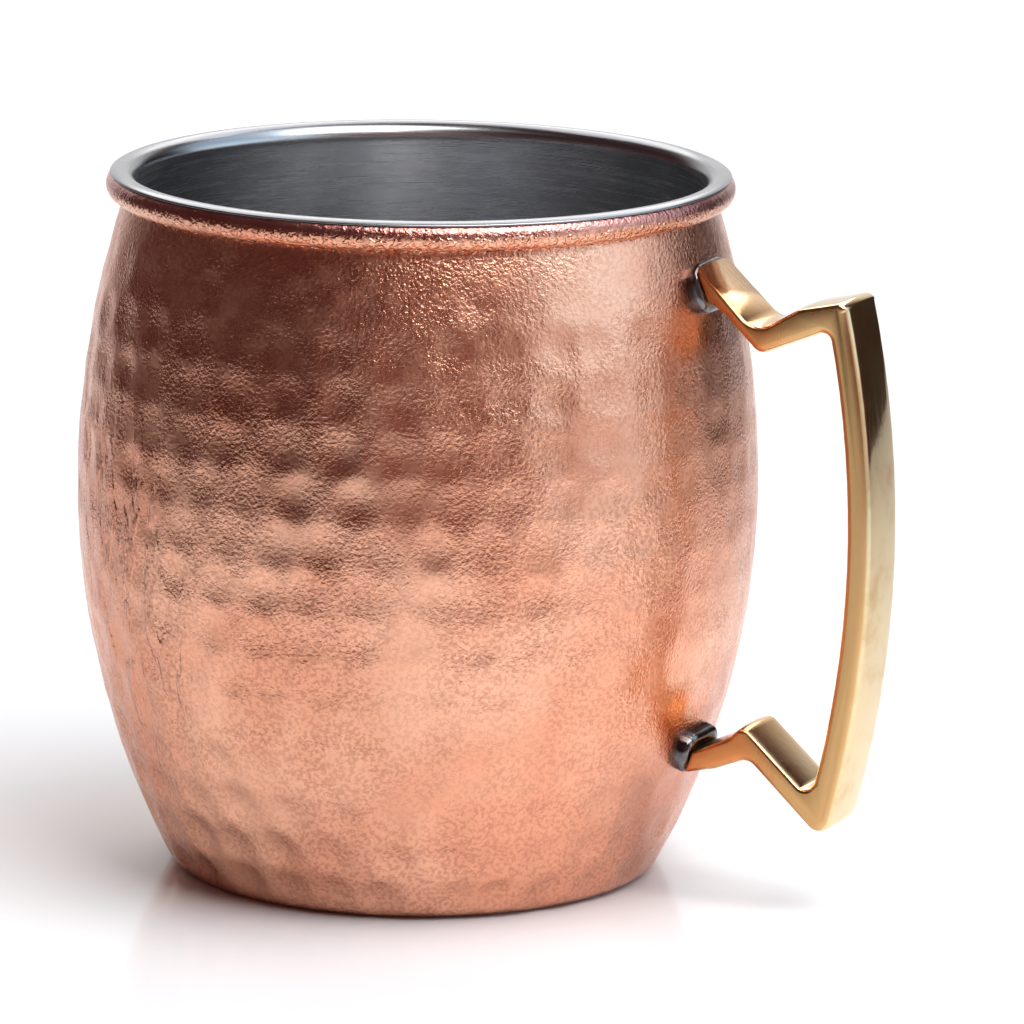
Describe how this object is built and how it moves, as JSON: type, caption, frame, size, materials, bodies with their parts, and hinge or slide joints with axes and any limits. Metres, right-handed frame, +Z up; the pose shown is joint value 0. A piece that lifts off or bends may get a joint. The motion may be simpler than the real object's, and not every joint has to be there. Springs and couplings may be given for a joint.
{
  "type": "copper mug",
  "caption": "Barrel-shaped hammered copper mug with a rolled wired rim, a steel liner and an angular cast brass handle held on two steel bosses.",
  "frame": {"origin": "centre of the flat underside, on the table", "axes": "+Z up along the cup's axis; the handle lies in the XZ plane on the +X side; +Y completes the right-handed frame"},
  "size_m": [0.1155, 0.0928, 0.0967],
  "materials": {
    "satin_copper": null,
    "satin_steel": "satin",
    "cast_brass": "cast and finely brushed",
    "dark_steel": "dark, polished"
  },
  "bodies": {
    "root": {"copper_shell": "satin_copper", "steel_liner": "satin_steel", "rim_wire": "satin_steel", "brass_handle": "cast_brass", "upper_boss": "dark_steel", "lower_boss": "dark_steel"}
  },
  "joints": []
}
